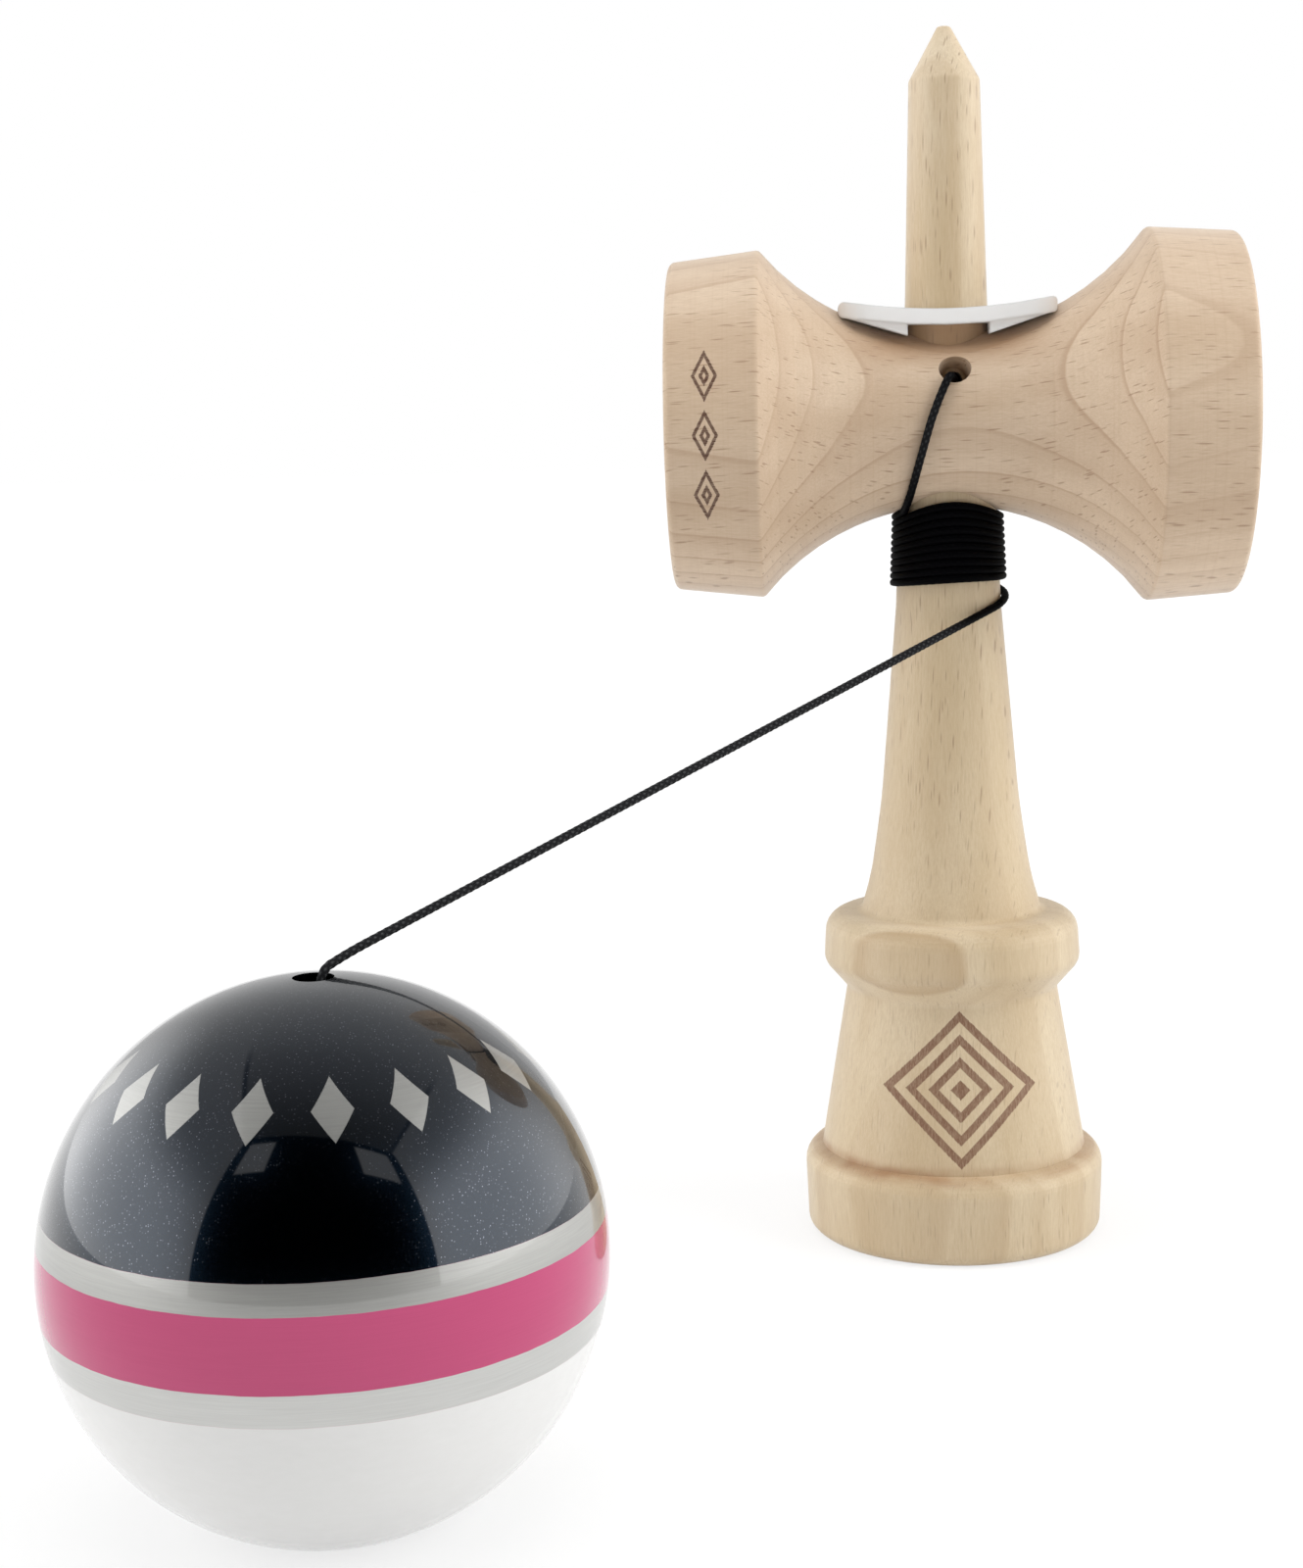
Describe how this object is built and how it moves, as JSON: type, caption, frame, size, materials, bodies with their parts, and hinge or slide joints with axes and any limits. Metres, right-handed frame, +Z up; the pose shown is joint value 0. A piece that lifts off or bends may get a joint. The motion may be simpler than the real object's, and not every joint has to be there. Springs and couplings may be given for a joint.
{
  "type": "cup and ball toy",
  "caption": "Turned beech handle with a spike, a cross barrel with cups and a base cup, and a painted ball on a string wound round the neck.",
  "frame": {"origin": "middle of the base cup's rim, on the table", "axes": "+Z up the handle to the spike, +X along the barrel out of the big cup, -Y to the front, where the string comes out"},
  "size_m": [0.1387, 0.1487, 0.165],
  "materials": {
    "handle_beech": "sanded, bare",
    "barrel_beech": "sanded, bare",
    "clip_plastic": "satin moulded",
    "string": "braided cord",
    "bead_plastic": "smooth",
    "ball_paint": "gloss paint on wood, black cap, silver lines, pink band, white below"
  },
  "bodies": {
    "handle": {"ken": "handle_beech", "barrel": "barrel_beech", "spike_clip": "clip_plastic", "anchor_knot": "string", "string_lead": "string", "string_wrap": "string"},
    "string_root": {"string_turn": "string"},
    "string": {"string_span": "string"},
    "string_end": {"string_drop": "string", "ball_bead": "bead_plastic", "end_knot": "string"},
    "ball": {"ball": "ball_paint"}
  },
  "joints": [
    {"name": "string_swing", "type": "hinge", "parent": "handle", "child": "string_root", "pos_m": [0.0056, -0.00615, 0.08764], "axis": [0, 0, 1], "range_deg": [0, 75]},
    {"name": "string_lift", "type": "hinge", "parent": "string_root", "child": "string", "pos_m": [-0.00006, -0.01204, 0.08604], "axis": [-0.7585, 0.6517, 0], "range_deg": [0, 40]},
    {"name": "ball_tilt", "type": "hinge", "parent": "string", "child": "string_end", "pos_m": [-0.06993, -0.09337, 0.05681], "axis": [-0.7585, 0.6517, 0], "range_deg": [0, 35]},
    {"name": "ball_spin", "type": "hinge", "parent": "string_end", "child": "ball", "pos_m": [-0.0703, -0.0938, 0.02783], "axis": [0, 0, 1], "continuous": true}
  ]
}
